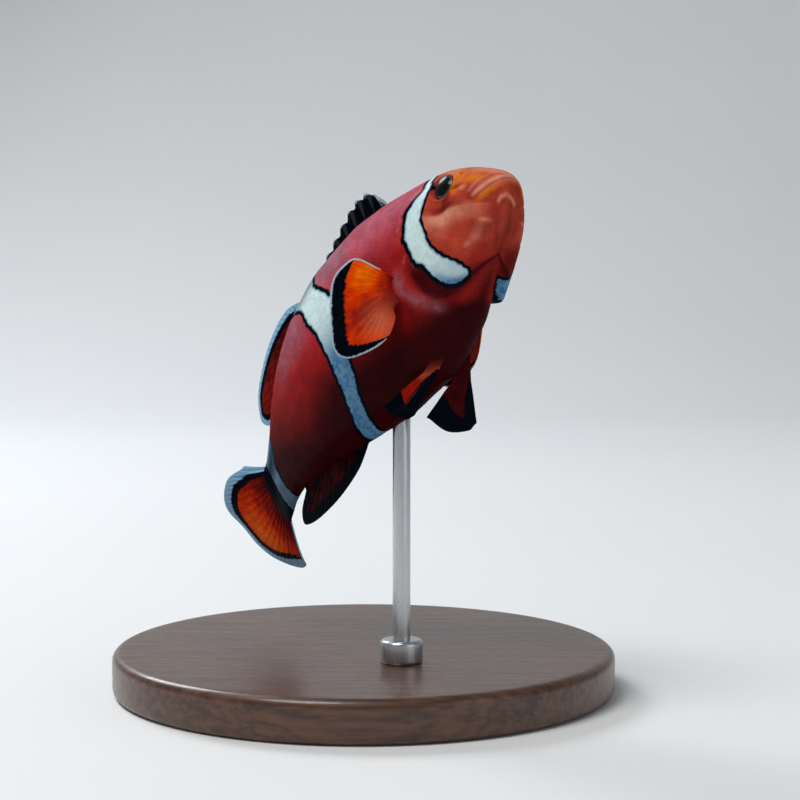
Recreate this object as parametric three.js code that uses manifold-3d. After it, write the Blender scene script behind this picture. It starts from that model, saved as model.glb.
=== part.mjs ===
// A clownfish (Amphiprion ocellaris), a still, life-size display model held on a plain stand.
// Millimetres, +Z up. The origin is the middle of the stand's underside.
//
// The fish is shaped straight, in hundredths of its standard length (snout to tail root): x runs
// back from the snout, y to its own right and z up its back. It is parted there into its pieces,
// and each piece is then bent along the swimming curve of the spine and set on the stand.

import * as THREE from 'three';
import { mergeVertices } from 'three/addons/utils/BufferGeometryUtils.js';
import Module from 'manifold-3d';

const wasm = await Module();
wasm.setup();

// ---- Driving dimensions -------------------------------------------------------------------

const STANDARD_LENGTH = 65; // snout to tail root, mm
const UNIT = STANDARD_LENGTH / 100; // one hundredth of the standard length, mm
const GAP = 0.3 / UNIT; // clearance between neighbouring pieces

// How the fish swims on its stand, in degrees.
const HEADING = -46; // 0 points along +X
const PITCH = 44.5; // nose up
const BANK = 8; // right side up

// Half depths and half widths of the body at each station back from the snout.
const BODY = {
  x: [0, 6, 12, 20, 30, 40, 50, 60, 70, 80, 90, 96, 100],
  back: [4.8, 7.8, 10.9, 14.4, 18.6, 20.8, 20.8, 19.2, 16.3, 12.4, 8.6, 7.8, 8.2],
  belly: [5.6, 8.8, 12.0, 15.6, 19.4, 21.4, 21.2, 19.0, 15.6, 11.8, 8.2, 7.4, 7.8],
  side: [6.2, 7.7, 8.9, 9.9, 10.6, 10.8, 10.2, 8.8, 7.0, 5.0, 3.2, 2.4, 1.6],
  middle: [-2.2, -1.2, -0.4, 0, 0, 0, 0, 0, 0, 0, 0, 0, 0],
};
const SNOUT_ROUND = 9; // length over which the snout rounds off
const SNOUT_POWER = 2.2;
const BACK_POWER = 2 / 2.3; // cross-section fullness above the middle
const BELLY_POWER = 2 / 2.05; // and below it
const AROUND = 32; // facets round the body
const ALONG = 36; // and along it
const CROWDING = 1.6; // stations crowd towards the snout

// The spine's curve as stations and degrees for each unit of length: towards the right, and
// downwards. The tail fin twists about its own length.
const SIDE_BEND = [[24, 34, 50, 70, 90, 102], [0, 1.0, -0.35, -0.75, -0.62, 0]];
const BACK_ARCH = [[24, 34, 94, 102, 130], [0, 0.07, 0.025, -1.37, -1.37]];
const TAIL_TWIST = [[100, 126], [0, -40]];
const SPINE_END = 130;

const EYE = { x: 10.8, y: 5.7, z: 4.0, radius: 3.2 };
const GILL_DEPTH = 2.5; // the gill covers reach in to this distance from the middle
const TRUNK_CUTS = [44, 65, 85]; // stations where the trunk and the tail stalk are parted

const FIN_HALF = 0.42; // half the thickness of a fin
const DORSAL_SPINES = 10;
const DORSAL_PLEAT = 0.5; // the sheet between the spines leans this far to each side
const TAIL_FIN = { rootTop: 8, rootFoot: -7.6, fan: 78, length: 26.4, half: 14.6, roundness: 0.75 };
const PECTORAL = { x: 30.8, y: 10.5, z: -6, rootHalf: 2.8, rootTop: -0.7, rootFoot: 0.9 };
const PECTORAL_SPREAD = { right: 18, left: 9 };
const PELVIC = { x: 37, y: 4, z: -20.8, rootHalf: 1.3, length: 13, bulge: 0.6 };

const STAND = { radius: 35, height: 6, bevel: 1.2, clearance: 8 };
const ROD = { radius: 1.2, station: 56, side: -3.5, socket: 4, slack: 0.3, relief: 1, sunk: 3 };
const COLLAR = { radius: 2.9, height: 3.2, bevel: 0.6 };

// ---- Curves -------------------------------------------------------------------------------

// A smooth curve through values at increasing stations, which never overshoots them.
function smooth(xs, ys, at) {
  const last = xs.length - 1;
  const q = THREE.MathUtils.clamp(at, xs[0], xs[last]);
  let i = 0;
  while (i < last - 1 && q > xs[i + 1]) i += 1;
  const slope = (k) => (ys[k + 1] - ys[k]) / (xs[k + 1] - xs[k]);
  const tangent = (k) => {
    if (k === 0) return slope(0);
    if (k === last) return slope(last - 1);
    const product = slope(k - 1) * slope(k);
    return product > 0 ? (2 * product) / (slope(k - 1) + slope(k)) : 0;
  };
  const span = xs[i + 1] - xs[i];
  const t = (q - xs[i]) / span;
  const rise = t * t * (3 - 2 * t);
  return ys[i] * (1 - rise) + ys[i + 1] * rise
    + t * (1 - t) * span * ((1 - t) * tangent(i) - t * tangent(i + 1));
}

// Straight lines between values at increasing stations, level beyond the ends.
function ramp([xs, ys], at) {
  const last = xs.length - 1;
  if (at <= xs[0]) return ys[0];
  if (at >= xs[last]) return ys[last];
  let i = 0;
  while (at > xs[i + 1]) i += 1;
  return THREE.MathUtils.mapLinear(at, xs[i], xs[i + 1], ys[i], ys[i + 1]);
}

const signedPower = (value, power) => Math.sign(value) * Math.abs(value) ** power;

// ---- The body's own shape -----------------------------------------------------------------

function snoutFactor(x) {
  const ahead = THREE.MathUtils.clamp(1 - x / SNOUT_ROUND, 0, 1);
  return Math.sqrt(1 - ahead ** SNOUT_POWER);
}

// A point of the skin: angle 0 is the back, a quarter turn is the fish's right side.
function skin(x, angle) {
  const upper = Math.cos(angle) > 0;
  const depth = smooth(BODY.x, upper ? BODY.back : BODY.belly, x) * snoutFactor(x);
  const width = smooth(BODY.x, BODY.side, x) * snoutFactor(x);
  const power = upper ? BACK_POWER : BELLY_POWER;
  return new THREE.Vector3(
    x,
    width * signedPower(Math.sin(angle), power),
    smooth(BODY.x, BODY.middle, x) + depth * signedPower(Math.cos(angle), power),
  );
}

const backAt = (x) => skin(x, 0).z;
const bellyAt = (x) => skin(x, Math.PI).z;

// ---- The bent spine -----------------------------------------------------------------------

const spine = bentSpine();

// The spine's place and directions at each whole station. Each step runs along its middle.
function bentSpine() {
  const frames = [];
  const at = new THREE.Vector3();
  const step = new THREE.Vector3();
  let turn = 0;
  let lift = 0;
  for (let x = 0; x <= SPINE_END; x += 1) {
    const back = backward(turn, lift);
    const right = new THREE.Vector3(-Math.sin(turn), Math.cos(turn), 0);
    const up = new THREE.Vector3().crossVectors(back, right);
    const twist = THREE.MathUtils.degToRad(ramp(TAIL_TWIST, x));
    right.applyAxisAngle(back, twist);
    up.applyAxisAngle(back, twist);
    frames.push({ at: at.clone(), back, right, up });
    turn += THREE.MathUtils.degToRad(ramp(SIDE_BEND, x + 0.5));
    lift += THREE.MathUtils.degToRad(ramp(BACK_ARCH, x + 0.5));
    step.addVectors(back, backward(turn, lift)).divideScalar(2);
    at.add(step);
  }
  return frames;
}

function backward(turn, lift) {
  return new THREE.Vector3(
    Math.cos(turn) * Math.cos(lift), Math.sin(turn) * Math.cos(lift), -Math.sin(lift));
}

// Carries a point of the straight fish to its place in the bent one, in millimetres.
function bend(p) {
  const x = THREE.MathUtils.clamp(p.x, 0, SPINE_END - 1e-6);
  const here = spine[Math.floor(x)];
  const next = spine[Math.floor(x) + 1];
  const part = x - Math.floor(x);
  const mix = (key) => here[key].clone().lerp(next[key], part);
  return mix('at')
    .addScaledVector(mix('back'), p.x - x)
    .addScaledVector(mix('right'), p.y)
    .addScaledVector(mix('up'), p.z)
    .multiplyScalar(UNIT);
}

// ---- Solids -------------------------------------------------------------------------------

// Moves every vertex of a geometry to map(vertex).
function moulded(geometry, map) {
  const position = geometry.attributes.position;
  const p = new THREE.Vector3();
  for (let i = 0; i < position.count; i += 1) {
    p.fromBufferAttribute(position, i);
    const to = map(p);
    position.setXYZ(i, to.x, to.y, to.z);
  }
  return geometry;
}

// A closed surface as a solid that can be joined and cut.
function solid(geometry) {
  geometry.deleteAttribute('normal');
  geometry.deleteAttribute('uv');
  const merged = mergeVertices(geometry, 1e-5);
  const vertProperties = Float32Array.from(merged.attributes.position.array);
  const triVerts = Uint32Array.from(merged.index.array);
  if (signedVolume(vertProperties, triVerts) < 0) triVerts.reverse();
  return new wasm.Manifold(new wasm.Mesh({ numProp: 3, vertProperties, triVerts }));
}

function signedVolume(xyz, triangles) {
  const corner = (i) => new THREE.Vector3().fromArray(xyz, 3 * triangles[i]);
  let volume = 0;
  for (let i = 0; i < triangles.length; i += 3) {
    volume += corner(i).dot(corner(i + 1).cross(corner(i + 2))) / 6;
  }
  return volume;
}

function surface(shape) {
  const { numProp, vertProperties, triVerts } = shape.getMesh();
  const xyz = new Float32Array((vertProperties.length / numProp) * 3);
  for (let i = 0; i < xyz.length / 3; i += 1) {
    for (let k = 0; k < 3; k += 1) xyz[3 * i + k] = vertProperties[numProp * i + k];
  }
  const geometry = new THREE.BufferGeometry();
  geometry.setAttribute('position', new THREE.BufferAttribute(xyz, 3));
  geometry.setIndex(new THREE.BufferAttribute(Uint32Array.from(triVerts), 1));
  return geometry;
}

// A side outline in (x, z), pushed through the fish from y0 to y1.
function plate(points, y0, y1) {
  const outline = new THREE.Shape(points.map(([x, z]) => new THREE.Vector2(x, z)));
  const geometry = new THREE.ExtrudeGeometry(outline, { depth: y1 - y0, bevelEnabled: false });
  return solid(geometry.rotateX(Math.PI / 2).translate(0, y1, 0));
}

// A smooth line of points through the corners given.
function flowing(corners, count) {
  const curve = new THREE.SplineCurve(corners.map(([x, z]) => new THREE.Vector2(x, z)));
  return curve.getPoints(count).map((p) => [p.x, p.y]);
}

// The same outline with each point moved away from a centre.
function grown(points, [cx, cz], by) {
  return points.map(([x, z]) => {
    const reach = Math.hypot(x - cx, z - cz);
    return [x + ((x - cx) * by) / reach, z + ((z - cz) * by) / reach];
  });
}

// ---- Body pieces, straight ----------------------------------------------------------------

const FAR = 40; // beyond the fish on every side

function wholeBody() {
  const ball = new THREE.SphereGeometry(1, AROUND, ALONG);
  return solid(moulded(ball, (p) => {
    const row = (Math.acos(THREE.MathUtils.clamp(p.y, -1, 1)) / Math.PI) * ALONG;
    const x = 100 * Math.min(1, row / (ALONG - 1)) ** CROWDING;
    const atPole = Math.hypot(p.x, p.z) < 1e-6;
    if (atPole) return new THREE.Vector3(x, 0, smooth(BODY.x, BODY.middle, x));
    return skin(x, Math.atan2(p.x, p.z));
  }));
}

// The head ends at the free edge of the gill covers, which meet on the throat.
function headOutline(by) {
  const edge = flowing([
    [20.5, 12], [22.6, 7.4], [26.8, 3.4], [28.5, -1.8],
    [26.8, -7.6], [22.2, -11.4], [16.5, -12.2], [13, -14],
  ], 16);
  const rear = grown([[20.5, FAR], ...edge, [12.4, -FAR]], [10, 0], by);
  return [[-FAR, FAR], ...rear, [-FAR, -FAR]];
}

function gillOutline(by) {
  const front = flowing([[19.8, 7.2], [18.4, 1], [17, -5], [13.4, -10.2]], 8);
  return grown([...front, [12, -13], [20, -FAR], [FAR, -FAR], [FAR, 9]], [24, -3], by);
}

function lowerJawOutline(by) {
  return grown([[-2, -3.0], [5.4, -4.0], [7.2, -7.5], [8.2, -FAR], [-2, -FAR]], [3, -7], by);
}

function upperJawOutline(by) {
  const lip = flowing([[6.0, -3.2], [4.2, -1.2], [1.6, -0.2], [-2, 0.2]], 6);
  return grown([[-2, -2.4], [5.6, -3.5], ...lip], [1.8, -1.8], by);
}

// The closed mouth, from the front of the snout back to its corners.
const MOUTH_SLIT = [[-2, -2.2], [6.2, -3.3], [6.2, -4.3], [-2, -3.2]];

function eyeball(side, by) {
  const ball = new THREE.SphereGeometry(EYE.radius + by, 14, 10);
  return solid(ball.rotateX(Math.PI / 2).translate(EYE.x, side * EYE.y, EYE.z));
}

function headPieces(body) {
  const front = body.intersect(plate(headOutline(0), -FAR, FAR));
  const gill = (side, by) => (side > 0
    ? plate(gillOutline(by), GILL_DEPTH - by, FAR)
    : plate(gillOutline(by), -FAR, by - GILL_DEPTH));
  const skull = front
    .subtract(gill(1, GAP))
    .subtract(gill(-1, GAP))
    .subtract(plate(lowerJawOutline(GAP), -FAR, FAR))
    .subtract(plate(upperJawOutline(GAP), -FAR, FAR))
    .subtract(plate(MOUTH_SLIT, -FAR, FAR))
    .subtract(eyeball(1, GAP))
    .subtract(eyeball(-1, GAP));
  return {
    head: skull,
    upper_jaw: front.intersect(plate(upperJawOutline(0), -FAR, FAR)),
    lower_jaw: front.intersect(plate(lowerJawOutline(0), -FAR, FAR)),
    gill_cover_right: front.intersect(gill(1, 0)),
    gill_cover_left: front.intersect(gill(-1, 0)),
    eye_right: eyeball(1, 0),
    eye_left: eyeball(-1, 0),
  };
}

function trunkPieces(body) {
  const rest = body.subtract(plate(headOutline(GAP), -FAR, FAR));
  const slice = (from, to) => rest.intersect(
    plate([[from, -FAR], [to, -FAR], [to, FAR], [from, FAR]], -FAR, FAR));
  const [first, second, third] = TRUNK_CUTS;
  return {
    trunk_front: slice(0, first - GAP / 2),
    trunk_middle: slice(first + GAP / 2, second - GAP / 2),
    trunk_rear: slice(second + GAP / 2, third - GAP / 2),
    tail_stalk: slice(third + GAP / 2, 100 + FAR),
  };
}

// ---- Fins, straight -----------------------------------------------------------------------

// A thin sheet of rays: place(u, v) gives its middle, u along the root and v out to the margin,
// and offset is the vector from the middle to the sheet's right face.
function sheet(columns, rows, place, offset) {
  const slab = new THREE.BoxGeometry(1, 1, 1, columns, rows, 1);
  return solid(moulded(slab, (p) => {
    const middle = place(p.x + 0.5, p.y + 0.5);
    return middle.addScaledVector(offset, Math.sign(p.z));
  }));
}

// A fin in the middle plane, with a root along the back or belly and a free margin.
function middleFin({ from, to, rootAt, margin, columns, rows, pleat }) {
  const edge = new THREE.SplineCurve(margin.map(([x, z]) => new THREE.Vector2(x, z)));
  return sheet(columns, rows, (u, v) => {
    const x = THREE.MathUtils.lerp(from, to, u);
    const tip = edge.getPoint(u);
    return new THREE.Vector3(
      THREE.MathUtils.lerp(x, tip.x, v),
      pleat(u) * v,
      THREE.MathUtils.lerp(rootAt(x), tip.y, v),
    );
  }, new THREE.Vector3(0, FIN_HALF, 0));
}

const aboveBack = (x) => backAt(x) + GAP;
const belowBelly = (x) => bellyAt(x) - GAP;

function spinyDorsal() {
  return middleFin({
    from: 29.5,
    to: 58.5,
    rootAt: aboveBack,
    margin: [
      [31, 20.4], [34.5, 26], [38.5, 27.6], [43.5, 25.4], [49.5, 23.2], [55, 21.8], [60.2, 21.2],
    ],
    columns: 4 * DORSAL_SPINES,
    rows: 3,
    pleat: (u) => DORSAL_PLEAT * Math.cos(2 * Math.PI * DORSAL_SPINES * u),
  });
}

function softDorsal() {
  return middleFin({
    from: 59.4,
    to: 86,
    rootAt: aboveBack,
    margin: [
      [61, 20.8], [66, 22.4], [73.5, 22.6], [81, 21.8], [88, 19.4], [91.4, 15], [90, 11.4], [87.4, 10],
    ],
    columns: 20,
    rows: 4,
    pleat: () => 0,
  });
}

function analFin() {
  return middleFin({
    from: 63,
    to: 87,
    rootAt: belowBelly,
    margin: [
      [64, -19], [69, -20.4], [76, -20.2], [83, -18.9],
      [90, -16.6], [94.6, -13.6], [93, -10.8], [88.5, -9.6],
    ],
    columns: 20,
    rows: 4,
    pleat: () => 0,
  });
}

// The tail fin: rays fan out of the tail root to a rounded margin.
function tailFin() {
  const root = 100 + GAP;
  const { rootTop, rootFoot, length, half, roundness } = TAIL_FIN;
  const fan = THREE.MathUtils.degToRad(TAIL_FIN.fan);
  return sheet(20, 7, (u, v) => {
    const angle = THREE.MathUtils.lerp(fan, -fan, u);
    const from = new THREE.Vector3(root, 0, THREE.MathUtils.lerp(rootTop, rootFoot, u));
    const reach = root + length * Math.cos(angle) ** roundness;
    return from.lerp(new THREE.Vector3(reach, 0, half * Math.sin(angle)), v);
  }, new THREE.Vector3(0, FIN_HALF, 0));
}

// A breast fin: a fan whose plane stands out from the flank by its spread, in degrees.
function pectoralFin(side, spread) {
  const { x, z, rootHalf, rootTop, rootFoot } = PECTORAL;
  const y = PECTORAL.y + GAP + FIN_HALF;
  const out = THREE.MathUtils.degToRad(spread);
  const margin = new THREE.SplineCurve([
    [1.4, 6.6], [5.6, 12], [10.8, 12.4], [15, 8.8], [17.8, 2.4],
    [18.6, -4.2], [14.8, -8.2], [9, -8.6], [4.4, -6],
  ].map(([back, up]) => new THREE.Vector2(back, up)));
  return sheet(16, 5, (u, v) => {
    const tip = margin.getPoint(u);
    const back = THREE.MathUtils.lerp(THREE.MathUtils.lerp(rootTop, rootFoot, u), tip.x, v);
    const up = THREE.MathUtils.lerp(THREE.MathUtils.lerp(rootHalf, -rootHalf, u), tip.y, v);
    return new THREE.Vector3(x + back * Math.cos(out), side * (y + back * Math.sin(out)), z + up);
  }, new THREE.Vector3(-side * Math.sin(out), Math.cos(out), 0).multiplyScalar(FIN_HALF));
}

// A belly fin: a fan between a leading and a trailing ray, both given as directions.
function pelvicFin(side, leading, trailing) {
  const root = new THREE.Vector3(PELVIC.x, side * PELVIC.y, PELVIC.z);
  const first = new THREE.Vector3(...leading).normalize();
  const last = new THREE.Vector3(...trailing).normalize();
  const across = new THREE.Vector3().crossVectors(first, last).normalize();
  return sheet(10, 5, (u, v) => {
    const length = PELVIC.length + PELVIC.bulge * Math.sin(Math.PI * u);
    const ray = first.clone().lerp(last, u).normalize();
    const along = THREE.MathUtils.lerp(-PELVIC.rootHalf, PELVIC.rootHalf, u);
    return root.clone().add(new THREE.Vector3(along, 0, 0)).addScaledVector(ray, v * length);
  }, across.multiplyScalar(FIN_HALF));
}

function finPieces() {
  return {
    dorsal_fin_spiny: spinyDorsal(),
    dorsal_fin_soft: softDorsal(),
    anal_fin: analFin(),
    tail_fin: tailFin(),
    pectoral_fin_right: pectoralFin(1, PECTORAL_SPREAD.right),
    pectoral_fin_left: pectoralFin(-1, PECTORAL_SPREAD.left),
    pelvic_fin_right: pelvicFin(1, [0.75, 0.35, -0.55], [0.93, 0.3, -0.2]),
    pelvic_fin_left: pelvicFin(-1, [0.62, -0.6, -0.5], [0.97, -0.06, -0.16]),
  };
}

// ---- Colours ------------------------------------------------------------------------------

const ORANGE = 0xc8542a;
const RED = 0xa83a32;
const MAROON = 0x5a2028;
const FIN_ORANGE = 0xd2641e;
const FIN_DARK = 0x201a1c;
const EYE_BLACK = 0x0a0a0c;

const COLOURS = {
  head: ORANGE,
  upper_jaw: ORANGE,
  lower_jaw: ORANGE,
  gill_cover_right: ORANGE,
  gill_cover_left: ORANGE,
  eye_right: EYE_BLACK,
  eye_left: EYE_BLACK,
  trunk_front: RED,
  trunk_middle: RED,
  trunk_rear: MAROON,
  tail_stalk: MAROON,
  dorsal_fin_spiny: FIN_DARK,
  dorsal_fin_soft: FIN_ORANGE,
  anal_fin: MAROON,
  tail_fin: FIN_ORANGE,
  pectoral_fin_right: FIN_ORANGE,
  pectoral_fin_left: FIN_ORANGE,
  pelvic_fin_right: FIN_DARK,
  pelvic_fin_left: FIN_DARK,
};

function named(name, geometry, finish) {
  const mesh = new THREE.Mesh(geometry, new THREE.MeshStandardMaterial(finish));
  mesh.name = name;
  return mesh;
}

// ---- The fish on its stand ----------------------------------------------------------------

const swimAngles = [BANK, PITCH, HEADING + 180].map(THREE.MathUtils.degToRad);
const swimming = new THREE.Euler(...swimAngles, 'ZYX');
const swimTurn = new THREE.Matrix4().makeRotationFromEuler(swimming);

const body = wholeBody();
const straightPieces = { ...headPieces(body), ...trunkPieces(body), ...finPieces() };
const bentPieces = Object.entries(straightPieces)
  .map(([name, shape]) => ({ name, geometry: moulded(surface(shape), bend) }));

// The fish's place: the middle of its plan over the origin, its lowest point clear of the base.
function fishPlace() {
  const extent = new THREE.Box3();
  for (const { geometry } of bentPieces) {
    extent.union(new THREE.Box3().setFromBufferAttribute(
      geometry.clone().applyMatrix4(swimTurn).attributes.position));
  }
  const middle = extent.getCenter(new THREE.Vector3());
  return new THREE.Vector3(-middle.x, -middle.y, STAND.height + STAND.clearance - extent.min.z);
}

const place = fishPlace();
const fishToStand = new THREE.Matrix4().makeTranslation(place).multiply(swimTurn);

// Where the rod meets the belly, on the fish's left of the keel.
function rodTop() {
  const sideways = Math.asin(ROD.side / smooth(BODY.x, BODY.side, ROD.station));
  return bend(skin(ROD.station, Math.PI - sideways)).applyMatrix4(fishToStand);
}

function upright(radius, bottom, top, at) {
  const rod = new THREE.CylinderGeometry(radius, radius, top - bottom, 20);
  return rod.rotateX(Math.PI / 2).translate(at.x, at.y, (bottom + top) / 2);
}

// A round flat piece with a bevelled top edge.
function disc(radius, bottom, top, bevel, at) {
  const profile = [[0, bottom], [radius, bottom], [radius, top - bevel], [radius - bevel, top], [0, top]];
  const turned = new THREE.LatheGeometry(profile.map(([r, z]) => new THREE.Vector2(r, z)), 40);
  return turned.rotateX(Math.PI / 2).translate(at.x, at.y, 0);
}

const meeting = rodTop();

// Drills the rod's socket into a piece of the fish, in the fish's own bent frame.
function drilled(geometry) {
  const reach = meeting.z + ROD.socket;
  const drill = upright(ROD.radius + ROD.slack, STAND.height, reach, meeting)
    .applyMatrix4(fishToStand.clone().invert());
  return surface(solid(geometry).subtract(solid(drill)));
}

function fishGroup() {
  const fish = new THREE.Group();
  fish.position.copy(place);
  fish.rotation.copy(swimming);
  for (const { name, geometry } of bentPieces) {
    const piece = name === 'trunk_middle' ? drilled(geometry) : geometry;
    fish.add(named(name, piece, { color: COLOURS[name], roughness: 0.45, metalness: 0 }));
  }
  return fish;
}

function standGroup() {
  const stand = new THREE.Group();
  const rodFoot = STAND.height - ROD.sunk;
  const rodEnd = meeting.z + ROD.socket - ROD.relief;
  const centre = new THREE.Vector3();
  const socket = solid(upright(ROD.radius, rodFoot, FAR, meeting));
  const base = solid(disc(STAND.radius, 0, STAND.height, STAND.bevel, centre)).subtract(socket);
  const collar = solid(disc(COLLAR.radius, STAND.height, STAND.height + COLLAR.height, COLLAR.bevel, meeting));
  stand.add(named('stand_base', surface(base), { color: 0x2b2b2d, roughness: 0.5, metalness: 0 }));
  stand.add(named('stand_collar', surface(collar.subtract(socket)), {
    color: 0xb9bcc0, roughness: 0.3, metalness: 1,
  }));
  stand.add(named('stand_rod', upright(ROD.radius, rodFoot, rodEnd, meeting), {
    color: 0xb9bcc0, roughness: 0.3, metalness: 1,
  }));
  return stand;
}

const model = new THREE.Group();
model.add(fishGroup(), standGroup());

export default model;
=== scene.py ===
"""A clownfish on a plain display stand: skin, scales, eyes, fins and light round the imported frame.

The fish is shaped straight, in hundredths of its standard length: x runs back from the snout, y to
its own right and z up its back. It is then bent along the swimming curve of the spine.
Angles round the body count from the back: a quarter turn is the fish's right side.
"""

import math

import bmesh
import bpy
import numpy as np
from mathutils import Euler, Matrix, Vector


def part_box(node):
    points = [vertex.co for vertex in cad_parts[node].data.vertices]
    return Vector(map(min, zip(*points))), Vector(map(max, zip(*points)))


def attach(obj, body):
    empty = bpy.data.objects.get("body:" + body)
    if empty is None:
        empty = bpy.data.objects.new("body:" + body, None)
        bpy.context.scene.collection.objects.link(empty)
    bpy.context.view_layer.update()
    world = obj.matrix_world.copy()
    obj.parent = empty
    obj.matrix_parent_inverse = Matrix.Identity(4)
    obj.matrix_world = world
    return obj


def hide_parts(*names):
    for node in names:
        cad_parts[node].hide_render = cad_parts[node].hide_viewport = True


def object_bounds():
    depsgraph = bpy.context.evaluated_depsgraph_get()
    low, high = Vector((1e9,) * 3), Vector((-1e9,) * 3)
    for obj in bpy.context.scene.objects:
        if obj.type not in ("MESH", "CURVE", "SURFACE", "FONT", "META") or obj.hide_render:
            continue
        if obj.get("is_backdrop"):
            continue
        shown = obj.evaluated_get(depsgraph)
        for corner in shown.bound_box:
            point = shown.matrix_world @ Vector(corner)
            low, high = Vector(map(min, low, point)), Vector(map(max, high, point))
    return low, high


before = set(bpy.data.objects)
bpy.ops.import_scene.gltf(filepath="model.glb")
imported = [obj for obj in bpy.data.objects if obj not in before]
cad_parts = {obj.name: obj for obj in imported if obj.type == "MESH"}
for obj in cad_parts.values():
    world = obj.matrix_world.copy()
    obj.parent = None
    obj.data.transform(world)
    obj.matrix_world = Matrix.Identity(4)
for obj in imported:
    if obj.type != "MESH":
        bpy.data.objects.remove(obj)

cad_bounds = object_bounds()
chance = np.random.default_rng(11)

# ---- Driving dimensions, in hundredths of the standard length unless a unit is named ----

UNIT = 0.00065  # metres
STATIONS = [0, 6, 12, 20, 30, 40, 50, 60, 70, 80, 90, 96, 100]
BACK = [4.8, 7.8, 10.9, 14.4, 18.6, 20.8, 20.8, 19.2, 16.3, 12.4, 8.6, 7.8, 8.2]
BELLY = [5.6, 8.8, 12.0, 15.6, 19.4, 21.4, 21.2, 19.0, 15.6, 11.8, 8.2, 7.4, 7.8]
SIDE = [6.2, 7.7, 8.9, 9.9, 10.6, 10.8, 10.2, 8.8, 7.0, 5.0, 3.2, 2.4, 1.6]
MIDDLE = [-2.2, -1.2, -0.4, 0, 0, 0, 0, 0, 0, 0, 0, 0, 0]
SNOUT_ROUND, SNOUT_POWER = 9, 2.2
BACK_POWER, BELLY_POWER = 2 / 2.3, 2 / 2.05
LOBE = 3.6  # the scaled lobe that runs out over the tail fin's root
SIDE_BEND = ([24, 34, 50, 70, 90, 102], [0, 1.0, -0.35, -0.75, -0.62, 0])  # degrees a unit
BACK_ARCH = ([24, 34, 94, 102, 130], [0, 0.07, 0.025, -1.37, -1.37])
TAIL_TWIST = ([100, 126], [0, -40])
SPINE_END = 130
SWIM = Euler([math.radians(d) for d in (8, 44.5, 134)], "XYZ").to_matrix()

COAT = 0.3  # the skin lies this far inside the solids
EYE = np.array([10.8, 5.7, 4.0])


# ---- Curves ----


def smooth(xs, ys, at):
    """A smooth curve through values at increasing stations, which never overshoots them."""
    xs, ys = np.asarray(xs, float), np.asarray(ys, float)
    q = np.clip(at, xs[0], xs[-1])
    slope = np.diff(ys) / np.diff(xs)
    tangent = np.concatenate([slope[:1], np.zeros(len(xs) - 2), slope[-1:]])
    product = slope[:-1] * slope[1:]
    rises = product > 0
    tangent[1:-1][rises] = 2 * product[rises] / (slope[:-1] + slope[1:])[rises]
    i = np.clip(np.searchsorted(xs, q) - 1, 0, len(xs) - 2)
    span = xs[i + 1] - xs[i]
    t = (q - xs[i]) / span
    rise = t * t * (3 - 2 * t)
    lean = (1 - t) * tangent[i] - t * tangent[i + 1]
    return ys[i] * (1 - rise) + ys[i + 1] * rise + t * (1 - t) * span * lean


def ease(low, high, value):
    """A smooth step from 0 at low to 1 at high."""
    t = np.clip((value - low) / (high - low), 0, 1)
    return t * t * (3 - 2 * t)


def fade(low, high, value):
    """A smooth step from 1 at low to 0 at high."""
    return 1 - ease(low, high, value)


def plateau(rise, top, edge, end, value):
    """0 up to rise, 1 from top to edge and 0 from end on."""
    return ease(rise, top, value) * fade(edge, end, value)


def hump(value, width):
    """A smooth bump, 1 where the value is 0."""
    return np.exp(-((value / width) ** 2))


def spline(corners, t):
    """A flowing line through corners, with t from 0 at the first to 1 at the last."""
    p = np.asarray(corners, float)
    last = len(p) - 1
    place = np.asarray(t) * last
    i = np.minimum(np.floor(place).astype(int), last - 1)
    w = (place - i)[..., None]
    a, b, c, d = p[np.maximum(i - 1, 0)], p[i], p[i + 1], p[np.minimum(i + 2, last)]
    into, out = (c - a) / 2, (d - b) / 2
    return (2 * b - 2 * c + into + out) * w**3 + (3 * c - 3 * b - 2 * into - out) * w**2 + into * w + b


def line_distance(a, b, corners):
    """Distance from points (a, b) to a line, positive on its left, and the place along it."""
    p = np.asarray(corners, float)
    step = np.diff(p, axis=0)
    rel_a, rel_b = a[:, None] - p[:-1, 0], b[:, None] - p[:-1, 1]
    t = np.clip((rel_a * step[:, 0] + rel_b * step[:, 1]) / (step**2).sum(1), 0, 1)
    far = np.hypot(rel_a - t * step[:, 0], rel_b - t * step[:, 1])
    k = far.argmin(1)
    rows = np.arange(len(a))
    side = np.sign(step[k, 0] * rel_b[rows, k] - step[k, 1] * rel_a[rows, k])
    return far[rows, k] * side, (k + t[rows, k]) / len(step)


def unit(v):
    return v / np.linalg.norm(v, axis=-1, keepdims=True)


def join(*columns):
    return np.stack(columns, -1)


def circle(count):
    """Even angles once round."""
    return 2 * math.pi * np.arange(count) / count


def pairs(a, b):
    """Every pair of values of a and b, b running faster, as two flat arrays."""
    return (grid.ravel() for grid in np.meshgrid(a, b, indexing="ij"))


# ---- The bent spine ----


def bent_spine():
    def backward(turn, lift):
        return np.array([math.cos(turn) * math.cos(lift), math.sin(turn) * math.cos(lift), -math.sin(lift)])

    rows, at, turn, lift = [], np.zeros(3), 0.0, 0.0
    for x in range(SPINE_END + 1):
        back = backward(turn, lift)
        right = np.array([-math.sin(turn), math.cos(turn), 0])
        up = np.cross(back, right)
        twist = math.radians(np.interp(x, *TAIL_TWIST))
        sine, cosine = math.sin(twist), math.cos(twist)
        rows.append((at, back, right * cosine + up * sine, up * cosine - right * sine))
        turn += math.radians(np.interp(x + 0.5, *SIDE_BEND))
        lift += math.radians(np.interp(x + 0.5, *BACK_ARCH))
        at = at + (back + backward(turn, lift)) / 2
    return np.array(rows)


SPINE = bent_spine()


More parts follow.
